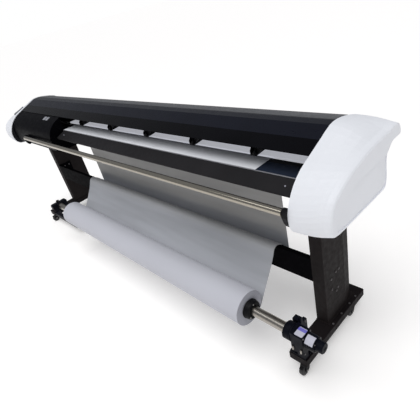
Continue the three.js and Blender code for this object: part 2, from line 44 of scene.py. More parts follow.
# Places in the machine's own numbers, in mm.
BODY = 1455.6                             # half the length between the end caps
STATION_END = -650                        # right end of the left cover
ROLL_Y, ROLL_Z = -329, 347
ROLL_AXIS = (0, ROLL_Y, ROLL_Z)
ROD_AXIS = (0, -281, 917)
FEED_Y, FEED_Z, FEED_R = -25, 948, 19.5   # feed roller
PINCH_X = (-530, -115, 300, 710, 1115)
WEB_LEFT, WEB_RIGHT = -640, 1200
PAPER_THICK = 0.5
CASTER_X, WHEEL_R = 1430, 31


def P(x, y, z):
    """A point given in the machine's own millimetres, in the frame's metres."""
    return Vector((x * MM, (y + SHIFT) * MM, z * MM))


def rgb(r, g, b):
    """Linear colour from 0-255 screen values."""
    def lin(c):
        c /= 255
        return c / 12.92 if c <= 0.04045 else ((c + 0.055) / 1.055) ** 2.4
    return (lin(r), lin(g), lin(b), 1.0)


# ---------------------------------------------------------------- materials
class Nodes:
    """Small builder for one material's node tree."""

    def __init__(self, name):
        self.mat = bpy.data.materials.new(name)
        self.mat.use_nodes = True
        self.tree = self.mat.node_tree
        self.bsdf = self.tree.nodes["Principled BSDF"]
        self.coord = self.tree.nodes.new("ShaderNodeTexCoord").outputs["Object"]

    def new(self, kind, **values):
        node = self.tree.nodes.new(kind)
        for key, value in values.items():
            if key in node.inputs.keys():
                node.inputs[key].default_value = value
            else:
                setattr(node, key, value)
        return node

    def link(self, a, b):
        self.tree.links.new(a, b)

    def scaled(self, scale):
        m = self.new("ShaderNodeMapping")
        m.inputs["Scale"].default_value = scale
        self.link(self.coord, m.inputs["Vector"])
        return m.outputs["Vector"]

    def noise(self, scale, detail=3.0, stretch=None):
        n = self.new("ShaderNodeTexNoise", Scale=scale, Detail=detail)
        self.link(self.scaled(stretch) if stretch else self.coord, n.inputs["Vector"])
        return n.outputs["Fac"]

    def ramp(self, fac, stops):
        r = self.new("ShaderNodeValToRGB")
        while len(r.color_ramp.elements) < len(stops):
            r.color_ramp.elements.new(0.5)
        for element, (pos, colour) in zip(r.color_ramp.elements, stops):
            element.position = pos
            element.color = colour
        self.link(fac, r.inputs["Fac"])
        return r.outputs["Color"]

    def span(self, fac, low, high, from_low=0.3, from_high=0.7):
        r = self.new("ShaderNodeMapRange")
        for key, value in (("From Min", from_low), ("From Max", from_high), ("To Min", low),
                           ("To Max", high)):
            r.inputs[key].default_value = value
        self.link(fac, r.inputs["Value"])
        return r.outputs["Result"]

    def mix(self, fac, a, b, blend="MIX"):
        m = self.new("ShaderNodeMix", data_type="RGBA", blend_type=blend)
        for value, index in ((fac, 0), (a, 6), (b, 7)):
            if hasattr(value, "is_linked"):
                self.link(value, m.inputs[index])
            else:
                m.inputs[index].default_value = value
        return m.outputs[2]

    def bump(self, height, strength, distance):
        b = self.new("ShaderNodeBump", Strength=strength, Distance=distance)
        self.link(height, b.inputs["Height"])
        previous = self.bsdf.inputs["Normal"]
        if previous.is_linked:
            self.link(previous.links[0].from_socket, b.inputs["Normal"])
        self.link(b.outputs["Normal"], previous)


def tint(colour, k):
    return tuple(min(1.0, c * k) for c in colour[:3]) + (1.0,)


def finish_of(name, colour, rough, metal=0.0, grain=900.0, bump=0.1, depth=0.0002, vary=0.12,
              patch=6.0, stretch=None, specular=0.5):
    """A base material: patchy colour and roughness, and a fine grain in the normal."""
    n = Nodes(name)
    n.bsdf.inputs["Metallic"].default_value = metal
    n.bsdf.inputs["Specular IOR Level"].default_value = specular
    cloud = n.noise(patch, 4.0, stretch)
    n.link(n.ramp(cloud, [(0.3, tint(colour, 1 - vary)), (0.7, tint(colour, 1 + vary))]),
           n.bsdf.inputs["Base Color"])
    n.link(n.span(n.noise(patch * 7, 5.0, stretch), rough * 0.85, min(1.0, rough * 1.2)),
           n.bsdf.inputs["Roughness"])
    n.bump(n.noise(grain, 2.0, stretch), bump, depth)
    return n


BRUSHED = (0.02, 1, 1)       # stretches the grain along the machine
DRAWN = (0.05, 1, 1)

# Piece key: material name, screen colour, roughness, and what differs from the usual finish.
FINISHES = {
    "white": ("white_abs", (236, 238, 243), 0.5, dict(grain=1400, vary=0.012, specular=0.35)),
    "leg": ("leg_paint", (33, 29, 29), 0.6, dict(grain=1600, bump=0.3, vary=0.14, specular=0.08)),
    "foot": ("foot_paint", (27, 23, 24), 0.6, dict(grain=1600, bump=0.3, vary=0.16, specular=0.08)),
    "beam": ("beam_paint", (9, 8, 11), 0.55, dict(grain=1600, bump=0.2, vary=0.15, specular=0.01)),
    "frame": ("frame_steel", (34, 34, 38), 0.5, dict(metal=0.1, grain=1200, bump=0.2,
                                                     specular=0.15)),
    "grey": ("grey_cover", (88, 89, 92), 0.55, dict(grain=1500, bump=0.2, vary=0.04, specular=0.2)),
    "rear": ("rear_plastic", (50, 50, 54), 0.55, dict(grain=1300, bump=0.4, vary=0.08,
                                                      specular=0.2)),
    "gloss": ("gloss_black", (9, 9, 13), 0.25, dict(grain=700, bump=0.02, vary=0.2, specular=0.05)),
    "station": ("station_black", (7, 7, 11), 0.42, dict(grain=1200, bump=0.08, vary=0.2,
                                                        specular=0.025)),
    "smoke": ("smoked_panel", (18, 20, 30), 0.3, dict(grain=800, bump=0.03, vary=0.1,
                                                      specular=0.12)),
    "platen": ("platen_dark", (38, 46, 62), 0.4, dict(metal=0.1, grain=1200, bump=0.15,
                                                      specular=0.2)),
    "alu": ("bright_alu", (214, 214, 221), 0.34, dict(metal=0.85, vary=0.05, stretch=BRUSHED)),
    "strip": ("pale_strip", (225, 225, 232), 0.4, dict(metal=0.1, bump=0.08, vary=0.04,
                                                       stretch=BRUSHED)),
    "apron": ("apron_paint", (35, 34, 36), 0.5, dict(grain=1600, bump=0.25, specular=0.1)),
    "plastic": ("black_plastic", (15, 15, 18), 0.5, dict(grain=1400, bump=0.3, specular=0.12)),
    "grit": ("grit_roller", (52, 52, 56), 0.7, dict(metal=0.2, grain=2400, bump=0.6, vary=0.15,
                                                    specular=0.15)),
    "rubber": ("black_rubber", (25, 25, 26), 0.72, dict(grain=1500, bump=0.5, vary=0.2)),
    "tread": ("caster_tread", (34, 34, 36), 0.6, dict(grain=1500, bump=0.4, vary=0.2)),
    "chrome": ("rod_chrome", (168, 162, 150), 0.18, dict(metal=1.0, grain=300, bump=0.02,
                                                         vary=0.05, stretch=DRAWN)),
    "steel": ("shaft_steel", (160, 155, 148), 0.26, dict(metal=1.0, grain=600, bump=0.05,
                                                         vary=0.08, stretch=DRAWN)),
    "bolt": ("zinc_bolt", (170, 168, 165), 0.35, dict(metal=0.9, grain=1500)),
    "dark_bolt": ("dark_bolt", (92, 89, 90), 0.45, dict(metal=0.1, grain=1500, bump=0.15,
                                                        vary=0.15, specular=0.3)),
    "drive": ("drive_enamel", (13, 15, 23), 0.45, dict(bump=0.2, vary=0.2, specular=0.06)),
    "panel": ("panel_grey", (120, 122, 126), 0.45, dict(grain=1500, bump=0.2, vary=0.05)),
    "button": ("button_blue", (52, 108, 178), 0.4, dict(grain=1500, vary=0.06)),
    "label": ("label_white", (192, 192, 204), 0.45, dict(grain=1200, vary=0.04)),
    "violet": ("label_violet", (112, 108, 190), 0.45, dict(grain=1200, vary=0.1)),
    "badge": ("plain_badge", (190, 192, 200), 0.3, dict(metal=0.6, bump=0.05)),
    "card": ("core_card", (150, 128, 100), 0.8, dict(grain=700, bump=0.4, vary=0.15)),
    "head": ("print_head", (60, 62, 72), 0.35, dict(grain=1300, bump=0.2)),
}
M = {key: finish_of(name, rgb(*colour), rough, **more)
     for key, (name, colour, rough, more) in FINISHES.items()}
# Painted light: the strip is given a faint glow so that it stays bright deep under the lid, where
# it would lie in shade.
M["strip"].bsdf.inputs["Emission Color"].default_value = (0.9, 0.92, 1.0, 1)
M["strip"].bsdf.inputs["Emission Strength"].default_value = 0.38


def paper(name, colour, rough):
    """Matt paper: faint fibre clouds, soft long waves and a fine tooth."""
    n = finish_of(name, colour, rough, grain=2200, bump=0.12, vary=0.03, patch=3.5,
                  stretch=(0.5, 1, 1), specular=0.3)
    n.bump(n.noise(2.2, 2.0, (1, 0.35, 0.35)), 0.25, 0.004)
    return n


# Painted light and shade by height: the web is left pale over the platen, painted in darker shade
# on the front sheet, and painted in darker, warmer shade where it rises in the body's shadow; stops
# are heights in metres.
M["paper"] = sheet = paper("paper_web", rgb(228, 230, 235), 0.6)
height = sheet.new("ShaderNodeSeparateXYZ")
sheet.link(sheet.coord, height.inputs[0])
FRONT_SHEET_PAINTED_SHADE, RISING_WEB_PAINTED_SHADE = (0.60, 0.605, 0.615, 1), (0.46, 0.445, 0.415, 1)
shade = sheet.ramp(height.outputs["Z"], [(0.50, FRONT_SHEET_PAINTED_SHADE), (0.58, RISING_WEB_PAINTED_SHADE), (0.93, RISING_WEB_PAINTED_SHADE),
                                         (0.955, (1, 1, 1, 1))])
tone = sheet.bsdf.inputs["Base Color"].links[0].from_socket
streaks = sheet.ramp(sheet.noise(4.0, 3.0, (0.22, 2.2, 2.2)),
                     [(0.34, (0.86, 0.86, 0.86, 1)), (0.68, (1.14, 1.14, 1.14, 1))])
shade = sheet.mix(1.0, shade, streaks, "MULTIPLY")
sheet.link(sheet.mix(1.0, tone, shade, "MULTIPLY"), sheet.bsdf.inputs["Base Color"])

# Wound paper: as the web round the outside, with fine layer rings on the ends.
wound = paper("paper_roll", rgb(194, 195, 203), 0.6)
axis_point = P(*ROLL_AXIS)
shift = wound.new("ShaderNodeVectorMath", operation="SUBTRACT")
shift.inputs[1].default_value = (0, axis_point.y, axis_point.z)
wound.link(wound.coord, shift.inputs[0])
flat = wound.new("ShaderNodeVectorMath", operation="MULTIPLY")
flat.inputs[1].default_value = (0, 1, 1)
wound.link(shift.outputs[0], flat.inputs[0])
length = wound.new("ShaderNodeVectorMath", operation="LENGTH")
wound.link(flat.outputs[0], length.inputs[0])
rings = wound.new("ShaderNodeTexNoise", Scale=900.0, Detail=2.0, noise_dimensions="1D")
wound.link(length.outputs["Value"], rings.inputs["W"])
side = wound.new("ShaderNodeNewGeometry")
split = wound.new("ShaderNodeSeparateXYZ")
wound.link(side.outputs["Normal"], split.inputs[0])
facing = wound.new("ShaderNodeMath", operation="ABSOLUTE")
wound.link(split.outputs["X"], facing.inputs[0])
is_end = wound.span(facing.outputs[0], 0.0, 1.0, 0.6, 0.8)
ring_colour = wound.ramp(rings.outputs["Fac"],
                         [(0.35, rgb(150, 151, 160)), (0.65, rgb(190, 191, 200))])
base = wound.bsdf.inputs["Base Color"].links[0].from_socket
wound.link(wound.mix(is_end, base, ring_colour), wound.bsdf.inputs["Base Color"])
wound.bump(rings.outputs["Fac"], 0.15, 0.0006)
M["wound"] = wound

MAT = {key: value.mat for key, value in M.items()}


# ---------------------------------------------------------------- mesh helpers
SHELL_ANGLE = 34       # degrees: for the curved end caps, which keep plain smooth normals


def smooth(obj, angle=38, bevel=0.0):
    """Soft edges: an angle-limited bevel, hard edges kept, and area-weighted normals."""
    for face in obj.data.polygons:
        face.use_smooth = True
    if bevel:
        b = obj.modifiers.new("soft_edges", "BEVEL")
        b.width = bevel
        b.segments = 2
        b.limit_method = "ANGLE"
        b.angle_limit = math.radians(angle)
    else:
        e = obj.modifiers.new("hard_edges", "EDGE_SPLIT")
        e.split_angle = math.radians(angle)
    if bevel or angle != SHELL_ANGLE:
        w = obj.modifiers.new("weighted", "WEIGHTED_NORMAL")
        w.keep_sharp = True


def paint(node, mat, bevel=0.0008, angle=38):
    """Gives a carried-over CAD node its finish and soft edges."""
    obj = NODES[node]
    obj.data.materials.clear()
    obj.data.materials.append(MAT[mat])
    smooth(obj, angle, bevel)


def piece(name, verts, faces, mat, body, replaces=(), bevel=0.0, angle=38):
    """A new object from points in metres, riding on a body in place of some CAD nodes."""
    mesh = bpy.data.meshes.new(name)
    mesh.from_pydata([tuple(v) for v in verts], [], faces)
    mesh.validate()
    bm = bmesh.new()
    bm.from_mesh(mesh)
    bmesh.ops.remove_doubles(bm, verts=bm.verts, dist=1e-6)
    bmesh.ops.recalc_face_normals(bm, faces=bm.faces)
    bm.to_mesh(mesh)
    bm.free()
    obj = bpy.data.objects.new(name, mesh)
    bpy.context.scene.collection.objects.link(obj)
    mesh.materials.append(MAT[mat])
    smooth(obj, angle, bevel)
    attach(obj, body)
    if replaces:
        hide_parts(*replaces)
    return obj


def turned(name, profile, centre, mat, body, axis="X", segs=64, closed=False, **more):
    """A turned piece: profile is (radius, along) in mm, about X or Z through centre in mm."""
    verts, faces = [], []
    count = len(profile)
    for i in range(segs):
        a = 2 * math.pi * i / segs
        c, s = math.cos(a), math.sin(a)
        for r, h in profile:
            if axis == "X":
                verts.append(P(h + centre[0], centre[1] + r * c, centre[2] + r * s))
            else:
                verts.append(P(centre[0] + r * c, centre[1] + r * s, h + centre[2]))
    steps = count if closed else count - 1
    for i in range(segs):
        j = (i + 1) % segs
        for k in range(steps):
            m = (k + 1) % count
            faces.append((i * count + k, j * count + k, j * count + m, i * count + m))
    return piece(name, verts, faces, mat, body, **more)


def rounded(line, radius, steps=5):
    """The open line with each inner corner turned into a small arc."""
    out = [line[0]]
    for a, b, c in zip(line, line[1:], line[2:]):
        u, v = Vector(a) - Vector(b), Vector(c) - Vector(b)
        d = min(radius, u.length * 0.48, v.length * 0.48)
        start, end = Vector(b) + u.normalized() * d, Vector(b) + v.normalized() * d
        for i in range(steps + 1):
            t = i / steps
            p = start * (1 - t) ** 2 + Vector(b) * 2 * t * (1 - t) + end * t ** 2
            out.append((p.x, p.y))
    out.append(line[-1])
    return out


def wall_faces(line, thickness, x0, x1, bumps=None, columns=1):
    """A thin wall along a (Y, Z) line in mm, from x0 to x1; positive thickness is to its left."""
    count = len(line)
    normals = []
    for i, p in enumerate(line):
        a, b = Vector(line[max(i - 1, 0)]), Vector(line[min(i + 1, count - 1)])
        t = (b - a).normalized()
        normals.append(Vector((-t.y, t.x)))
    verts, faces = [], []
    for c in range(columns + 1):
        x = x0 + (x1 - x0) * c / columns
        for side_step in (0.0, thickness):
            for i, (p, n) in enumerate(zip(line, normals)):
                lift = bumps(x, i) if bumps else 0.0
                out = side_step + lift
                verts.append(P(x, p[0] + n.x * out, p[1] + n.y * out))
    ring = 2 * count
    for c in range(columns):
        a, b = c * ring, (c + 1) * ring
        for i in range(count - 1):
            faces.append((a + i, a + i + 1, b + i + 1, b + i))
            faces.append((a + count + i, b + count + i, b + count + i + 1, a + count + i + 1))
        for i in (0, count - 1):
            faces.append((a + i, b + i, b + count + i, a + count + i))
    for base_index in (0, columns * ring):
        for i in range(count - 1):
            k = base_index + i
            faces.append((k, k + count, k + count + 1, k + 1))
    return verts, faces


def walled(name, line, thickness, x0, x1, mat, body, radius, **more):
    """A thin shell along a (Y, Z) line whose corners are rolled to a radius."""
    verts, faces = wall_faces(rounded(line, radius), thickness, x0, x1)
    return piece(name, verts, faces, mat, body, **more)


def block(name, low, high, mat, body, bevel=0.0012, turn=None, **more):
    """A small moulded or machined block with rounded edges, given by two corners in mm."""
    verts = [P(x, y, z) for x in (low[0], high[0]) for y in (low[1], high[1])
             for z in (low[2], high[2])]
    if turn:
        mid = sum(verts, Vector()) / 8
        verts = [mid + turn @ (v - mid) for v in verts]
    faces = [(0, 1, 3, 2), (4, 6, 7, 5), (0, 4, 5, 1), (2, 3, 7, 6), (0, 2, 6, 4), (1, 5, 7, 3)]
    return piece(name, verts, faces, mat, body, bevel=bevel, **more)


BOLT_SIDES = 24


def bolt(name, centre, axis, body, r=6.0, mat="bolt"):
    """A socket screw head, domed edge with a hex recess, pointing along +axis."""
    axis = Vector(axis).normalized()
    q = Vector((0, 0, 1)).rotation_difference(axis)
    steps = [(r, -1.0), (r, 2.6), (r * 0.86, 3.4), (r * 0.5, 3.4), (r * 0.46, 1.6)]
    verts, faces = [], []
    for radius, height in steps:
        for i in range(BOLT_SIDES):
            a = 2 * math.pi * i / BOLT_SIDES
            if radius < r * 0.55:
                k = math.cos(math.pi / 6) / math.cos((a % (math.pi / 3)) - math.pi / 6)
            else:
                k = 1.0
            local = Vector((radius * k * math.cos(a), radius * k * math.sin(a), height)) * MM
            verts.append(P(*centre) + q @ local)
    for low in range(0, BOLT_SIDES * (len(steps) - 1), BOLT_SIDES):
        high = low + BOLT_SIDES
        for i in range(BOLT_SIDES):
            j = (i + 1) % BOLT_SIDES
            faces.append((low + i, low + j, high + j, high + i))
    faces.append(tuple(range(BOLT_SIDES - 1, -1, -1)))
    faces.append(tuple(range((len(steps) - 1) * BOLT_SIDES, len(steps) * BOLT_SIDES)))
    return piece(name, verts, faces, mat, body)


# ---------------------------------------------------------------- carried-over CAD nodes
for node, mat, bevel in (
        ("side_frame_left", "frame", 0.0005), ("side_frame_right", "frame", 0.0005),
        ("leg_left", "leg", 0.0025), ("leg_right", "leg", 0.0025),
        ("foot_left", "foot", 0.002), ("foot_right", "foot", 0.002),
        ("crossbeam", "beam", 0.0015), ("main_beam", "frame", 0.0015),
        ("table_beam", "frame", 0.001), ("lid_window", "smoke", 0.0008),
        ("platen", "platen", 0.0006),
        ("platen_trim", "alu", 0.0004), ("back_strip", "strip", 0.0005),
        ("pinch_lift", "plastic", 0.0008), ("guide_rail", "alu", 0.0008),
        ("carriage_body", "plastic", 0.002), ("print_heads", "head", 0.0015),
        ("cutter_holder", "steel", 0.0003), ("drive_belt", "rubber", 0.0002),
        ("belt_pulley_left", "steel", 0.0003), ("belt_pulley_right", "steel", 0.0003),
        ("carriage_motor", "frame", 0.0012), ("rod_bracket_left", "plastic", 0.0015),
        ("rod_bracket_right", "plastic", 0.0015), ("takeup_gearbox", "drive", 0.002),
        ("takeup_bracket", "drive", 0.002), ("roll_support", "drive", 0.002),
        ("control_panel", "panel", 0.0008), ("panel_button", "button", 0.0006),
        ("power_inlet", "plastic", 0.0008), ("power_switch", "gloss", 0.0006)):
    paint(node, mat, bevel)
for node in ("end_cap_left", "end_cap_right"):
    paint(node, "white", 0.0, SHELL_ANGLE)

# ---------------------------------------------------------------- covers with rolled corners
walled("top_cover_skin", [(75, 1119.2), (90, 1117.4), (140, 1107), (196, 1091), (222, 1077),
                          (236, 1050), (243, 1022), (236, 1012), (200, 1011)], -3, -BODY, BODY,
       "grey", "machine", radius=16, replaces=("top_cover",))
walled("rear_cover_skin", [(134, 838), (139, 848), (139, 966), (150, 994), (170, 1010),
                           (190, 1012)], 3, -BODY, BODY, "rear", "machine", radius=10,
       replaces=("rear_cover",))
walled("lid_front_skin", [(-46, 1090.3), (-119, 1063.8)], 4, -BODY, BODY,
       "gloss", "lid", radius=5, replaces=("lid_front_rail",))
walled("apron_skin", [(-135.5, 966), (-206, 938), (-206, 930)], 3, -620, BODY, "apron", "machine",
       radius=3, replaces=("apron",))

NOSE = [(-122, 1060.4), (-178, 1038), (-221, 1003), (-245, 962), (-253, 915), (-251, 870),
        (-238, 840), (-208, 827), (-60, 827)]
walled("station_skin", NOSE, 3, -BODY, STATION_END, "station", "machine", radius=26,
       replaces=("station_cover",))
INNER = rounded([(-123, 1057.2), (-177, 1035.5), (-219, 1001), (-242.5, 961), (-250, 915),
                 (-248, 871), (-236.5, 842), (-207.5, 829.5), (-100, 829.5)], 26)
END = INNER + [(-100, 858), (-199, 930), (-196, 938.5), (-137, 960), (-123, 963)]
end_verts = [P(x, y, z) for x in (STATION_END - 3, STATION_END) for y, z in END]
n_end = len(END)
end_faces = [tuple(range(n_end)), tuple(range(2 * n_end - 1, n_end - 1, -1))]
end_faces += [(i, (i + 1) % n_end, n_end + (i + 1) % n_end, n_end + i) for i in range(n_end)]
piece("station_end_wall", end_verts, end_faces, "station", "machine", bevel=0.0008)

# ---------------------------------------------------------------- rollers, rods and the roll
turned("front_rod_bar", [(0, -1109.6), (15, -1109.6), (16, -1108.6), (16, 1436), (15, 1437),
                         (0, 1437)],
       ROD_AXIS, "chrome", "machine", replaces=("front_rod",))
turned("feed_roller_bar", [(0, -1440), (9, -1440), (9, -646), (FEED_R - 1, -646), (FEED_R, -645),
                           (FEED_R, 1404), (FEED_R - 1, 1405), (9, 1405), (9, 1450), (0, 1450)],
       (0, FEED_Y, FEED_Z), "grit", "feed_roller", segs=48, replaces=("feed_roller",))
PINCH_TYRE = [(0, -8.1), (3, -8.1), (3, -7), (6.5, -7), (7, -6.4), (10.4, -6.6), (11, -6), (11, 6),
              (10.4, 6.6), (7, 6.4), (6.5, 7), (3, 7), (3, 8.1), (0, 8.1)]
for i, x in enumerate(PINCH_X):
    turned(f"pinch_tyre_{i + 1}", PINCH_TYRE, (x, FEED_Y, 979.8), "rubber", f"pinch_wheel_{i + 1}",
           segs=40, replaces=(f"pinch_wheel_{i + 1}",))

turned("roll_shaft_tube", [(21, -940), (23.2, -940), (24, -939), (24, 1410.6), (21, 1410.6)],
       ROLL_AXIS, "steel", "roll", segs=56, closed=True, replaces=("roll_shaft",))
PAPER_END = [(41.5, 0.6), (86.8, 0), (87.5, 0.8)]        # radius, and how far in from the end
turned("paper_roll", [(r, WEB_LEFT + d) for r, d in PAPER_END]
       + [(r, WEB_RIGHT - d) for r, d in reversed(PAPER_END)],
       ROLL_AXIS, "wound", "roll", segs=96, closed=True, replaces=("media_roll",))
turned("core_tube", [(38.5, WEB_LEFT), (41.4, WEB_LEFT), (41.4, WEB_RIGHT), (38.5, WEB_RIGHT)],
       ROLL_AXIS, "card", "roll", segs=64, closed=True)
HUB = [(24.4, -30), (38.1, -30), (38.1, 0.6), (47, 0.6), (49, 2.5), (49, 6), (47.5, 8), (46.5, 20),
       (44.5, 26), (41, 30), (33, 31), (32, 29), (27, 29), (26, 31), (24.4, 31)]


def round_roll(radius, degrees):
    """Y and Z of a point at a radius and angle about the roll's axis."""
    a = math.radians(degrees)
    return ROLL_Y + radius * math.cos(a), ROLL_Z + radius * math.sin(a)


for side, sign, x in (("right", 1, WEB_RIGHT), ("left", -1, WEB_LEFT)):
    turned(f"core_hub_{side}", [(r, x + sign * h) for r, h in HUB], ROLL_AXIS, "plastic", "roll",
           closed=True, replaces=(f"core_plug_{side}",))
    for k in range(3):
        bolt(f"core_hub_{side}_screw_{k + 1}", (x + sign * 30.4, *round_roll(37, 90 + 120 * k)),
             (sign, 0, 0), "roll", r=3.4)

turned("drive_chuck_body", [(0, 1411), (38.5, 1411), (40, 1412.5), (40, 1417), (38.6, 1418.4),
                            (38.6, 1421), (40, 1422.4), (40, 1440), (38.6, 1441.4), (38.6, 1444),
                            (40, 1445.4), (40, 1448), (38.5, 1449.5), (30, 1449.5), (30, 1451.6),
                            (0, 1451.6)],
       ROLL_AXIS, "drive", "roll", replaces=("drive_chuck",))
for k in range(4):
    bolt(f"chuck_screw_{k + 1}", (1411, *round_roll(32, 78 + 90 * k)), (-1, 0, 0), "roll", r=4.0,
         mat="dark_bolt")

# ---------------------------------------------------------------- take-up drive
motor = [(0, 1510.4), (34, 1510.4), (34, 1513), (33, 1514)]
for k in range(4):
    x = 1518 + k * 8
    motor += [(33, x), (34, x + 1), (34, x + 4), (33, x + 5)]
motor += [(33, 1552), (34, 1553), (34, 1555), (33, 1556), (24.5, 1556), (24.5, 1566),
          (23.8, 1566.7), (23.8, 1568.3), (24.5, 1569), (24.5, 1585), (22, 1588), (8, 1588),
          (7, 1586.5), (0, 1586.5)]
turned("takeup_motor_can", motor, ROLL_AXIS, "drive", "machine", replaces=("takeup_motor",))
for k in range(4):
    bolt(f"motor_screw_{k + 1}", (1556.2, *round_roll(29, 45 + 90 * k)), (1, 0, 0), "machine",
         r=2.6, mat="dark_bolt")


def label(name, centre, width, height, normal, up, mat, body):
    """A thin plain sticker with rounded corners, facing normal."""
    n, u = Vector(normal).normalized(), Vector(up).normalized()
    r = u.cross(n)
    corner = min(width, height) * 0.12
    verts = []
    for lift in (0.05, 0.55):
        for cx, cy, a0 in ((1, 1, 0), (-1, 1, 90), (-1, -1, 180), (1, -1, 270)):
            for k in range(4):
                a = math.radians(a0 + 30 * k)
                across = cx * (width / 2 - corner) + corner * math.cos(a)
                above = cy * (height / 2 - corner) + corner * math.sin(a)
                verts.append(P(*centre) + (r * across + u * above + n * lift) * MM)
    faces = [tuple(range(15, -1, -1)), tuple(range(16, 32))]
    faces += [(i, (i + 1) % 16, 16 + (i + 1) % 16, 16 + i) for i in range(16)]
    return piece(name, verts, faces, mat, body, bevel=0.0001)


UP, BACK = (0, 0, 1), (0, 1, 0)
label("gearbox_label_white", (1488, -338, 386), 38, 46, UP, BACK, "label", "machine")
label("gearbox_label_band", (1488, -326, 386.4), 38, 16, UP, BACK, "violet", "machine")
for k, (y, z) in enumerate(((-359, 286), (-359, 379), (-307, 286), (-307, 379))):
    bolt(f"gearbox_screw_{k + 1}", (1510.2, y, z), (1, 0, 0), "machine", r=3.6, mat="dark_bolt")
for k, z in enumerate((288, 376)):
    bolt(f"plate_screw_{k + 1}", (1466.2, -275, z), (1, 0, 0), "machine", r=4.5, mat="dark_bolt")
for k, x in enumerate((1461, 1500)):
    turned(f"guide_stud_{k + 1}", [(0, -11), (3.4, -11), (3.8, -10.4), (3.8, 8), (2.6, 9.4),
                                   (2.6, 11), (0, 11)],
           (x, -368.5, 304), "steel", "machine", axis="Z", segs=24)
verts, faces = wall_faces([round_roll(34.2, a) for a in range(84, 157, 8)], 0.5, 1515, 1552)
piece("motor_label", verts, faces, "label", "machine")

# ---------------------------------------------------------------- the paper web
WRAP = FEED_R + 0.35 + 0.6                # the web's radius round the feed roller


def spline(points, steps):
    """Catmull-Rom line through the points, with the given number of steps in each span."""
    ends = [2 * Vector(points[0]) - Vector(points[1])] + [Vector(p) for p in points]
    ends.append(2 * Vector(points[-1]) - Vector(points[-2]))
    out = []
    for k in range(1, len(ends) - 2):
        a, b, c, d = ends[k - 1:k + 3]
        for i in range(steps):
            t = i / steps
            q = 0.5 * ((2 * b) + (c - a) * t + (2 * a - 5 * b + 4 * c - d) * t * t
                       + (3 * b - a - 3 * c + d) * t ** 3)
            out.append((q.x, q.y))
    return out + [tuple(points[-1])]


CLIMB = [(-257.6, 290.8), (-200, 369), (-133.6, 461), (-112, 500), (-101, 523), (-93, 532),
         (-80, 537), (-64, 534), (-46, 522.5), (-29, 511), (-22.5, 500)]
SPAN_STEPS = 4
web = spline(CLIMB, SPAN_STEPS)
CLIMB_END = 3 * SPAN_STEPS                # where the web reaches the crossbeam
LOOP_START = len(web) - SPAN_STEPS
web += [(-20.8, 480), (-20.1, 460)]
SLACK_R = 15.5                            # the slack loop's turn behind the crossbeam
web += [(-4.5 - SLACK_R * math.cos(math.pi * i / 12), 440 - SLACK_R * math.sin(math.pi * i / 12))
        for i in range(13)]
web += spline([(11.1, 480), (11.2, 600), (10.6, 780), (8, 835), (-1, 880)], SPAN_STEPS)
RISE_END = len(web) - 1
for i in range(11):
    a = math.pi / 2 * i / 10
    web.append((FEED_Y + WRAP * math.cos(a), FEED_Z + WRAP * math.sin(a)))
web += [(-46 - 12 * k, FEED_Z + WRAP) for k in range(7)] + [(-129.6, FEED_Z + WRAP)]
rng = random.Random(7)
waves = [(rng.uniform(0.003, 0.009), rng.uniform(0, 6.28), rng.uniform(0.5, 1.0))
         for _ in range(3)]


def web_wave(x, i):
    """Slow ripples across the web where it hangs free, none where it is held."""
    if i <= CLIMB_END:
        free = math.sin(math.pi * i / CLIMB_END)
    elif LOOP_START <= i <= RISE_END:
        free = math.sin(math.pi * (i - LOOP_START) / (RISE_END - LOOP_START)) * 0.35
    else:
        free = 0.0
    return free * sum(a * 0.8 * math.sin(k * x + p) for k, p, a in waves)


verts, faces = wall_faces(web, PAPER_THICK, WEB_LEFT, WEB_RIGHT, web_wave, 92)
web_piece = piece("paper_web_sheet", verts, faces, "paper", "machine", replaces=("media_web",),
                  angle=60)

# ---------------------------------------------------------------- stand details
LEG_BOLTS = ((67, 389), (41, 388), (0, 372), (0, 308), (52, 282), (37, 271))
BASE_BOLTS = {"right": [((1388, y, 128.2), UP) for y in (-272, -242)],
              "left": [((-1356.4, -236, z), (1, 0, 0)) for z in (88, 108)]}
TREAD = [(0, -12), (5, -12), (5, -9.5), (9, -9), (9, -11), (27, -11), (29.2, -10.3), (30.6, -8.5),
         (WHEEL_R, -6), (WHEEL_R, 6), (30.6, 8.5), (29.2, 10.3), (27, 11), (9, 11), (9, 9),
         (5, 9.5), (5, 12), (0, 12)]
for side, sign in (("right", 1), ("left", -1)):
    for k, (y, z) in enumerate(LEG_BOLTS):
        bolt(f"leg_bolt_{side}_{k + 1}", (sign * 1428.5, y, z), (sign, 0, 0), "machine", r=5.5,
             mat="dark_bolt")
    block(f"leg_foot_plate_{side}", (min(sign * 1364, sign * 1436), -60, 118.2),
          (max(sign * 1364, sign * 1436), 194, 123), "leg", "machine")
    for k, y in enumerate((-40, 40, 120, 180)):
        bolt(f"foot_bolt_{side}_{k + 1}", (sign * 1447, y, 118.2), UP, "machine", r=5,
             mat="dark_bolt")
    for k, (y, z) in enumerate(((-4, 396), (38, 396), (-4, 484), (38, 484))):
        bolt(f"flange_bolt_{side}_{k + 1}", (sign * 1360.4, y, z), (-sign, 0, 0), "machine", r=6,
             mat="dark_bolt")
    for k, (centre, axis) in enumerate(BASE_BOLTS[side]):
        bolt(f"base_bolt_{side}_{k + 1}", centre, axis, "machine", r=5, mat="dark_bolt")
    for end, wheel_y in (("front", -280), ("rear", 152)):
        x, corner = sign * CASTER_X, f"{end}_{side}"
        turned(f"caster_tyre_{corner}", TREAD, (x, wheel_y, WHEEL_R), "tread", f"wheel_{corner}",
               segs=48, replaces=(f"caster_wheel_{corner}",))
        paint(f"caster_fork_{corner}", "plastic", 0.0012)
        for letter, face in (("a", -1), ("b", 1)):
            bolt(f"caster_axle_{corner}_{letter}", (x + face * 17, wheel_y, WHEEL_R),
                 (face, 0, 0), f"fork_{corner}", r=5)
        block(f"caster_brake_{corner}", (x - 9, wheel_y - 29, 56), (x + 9, wheel_y - 12, 61),
              "plastic", f"fork_{corner}", bevel=0.002,
              turn=Matrix.Rotation(math.radians(24), 3, "X"))

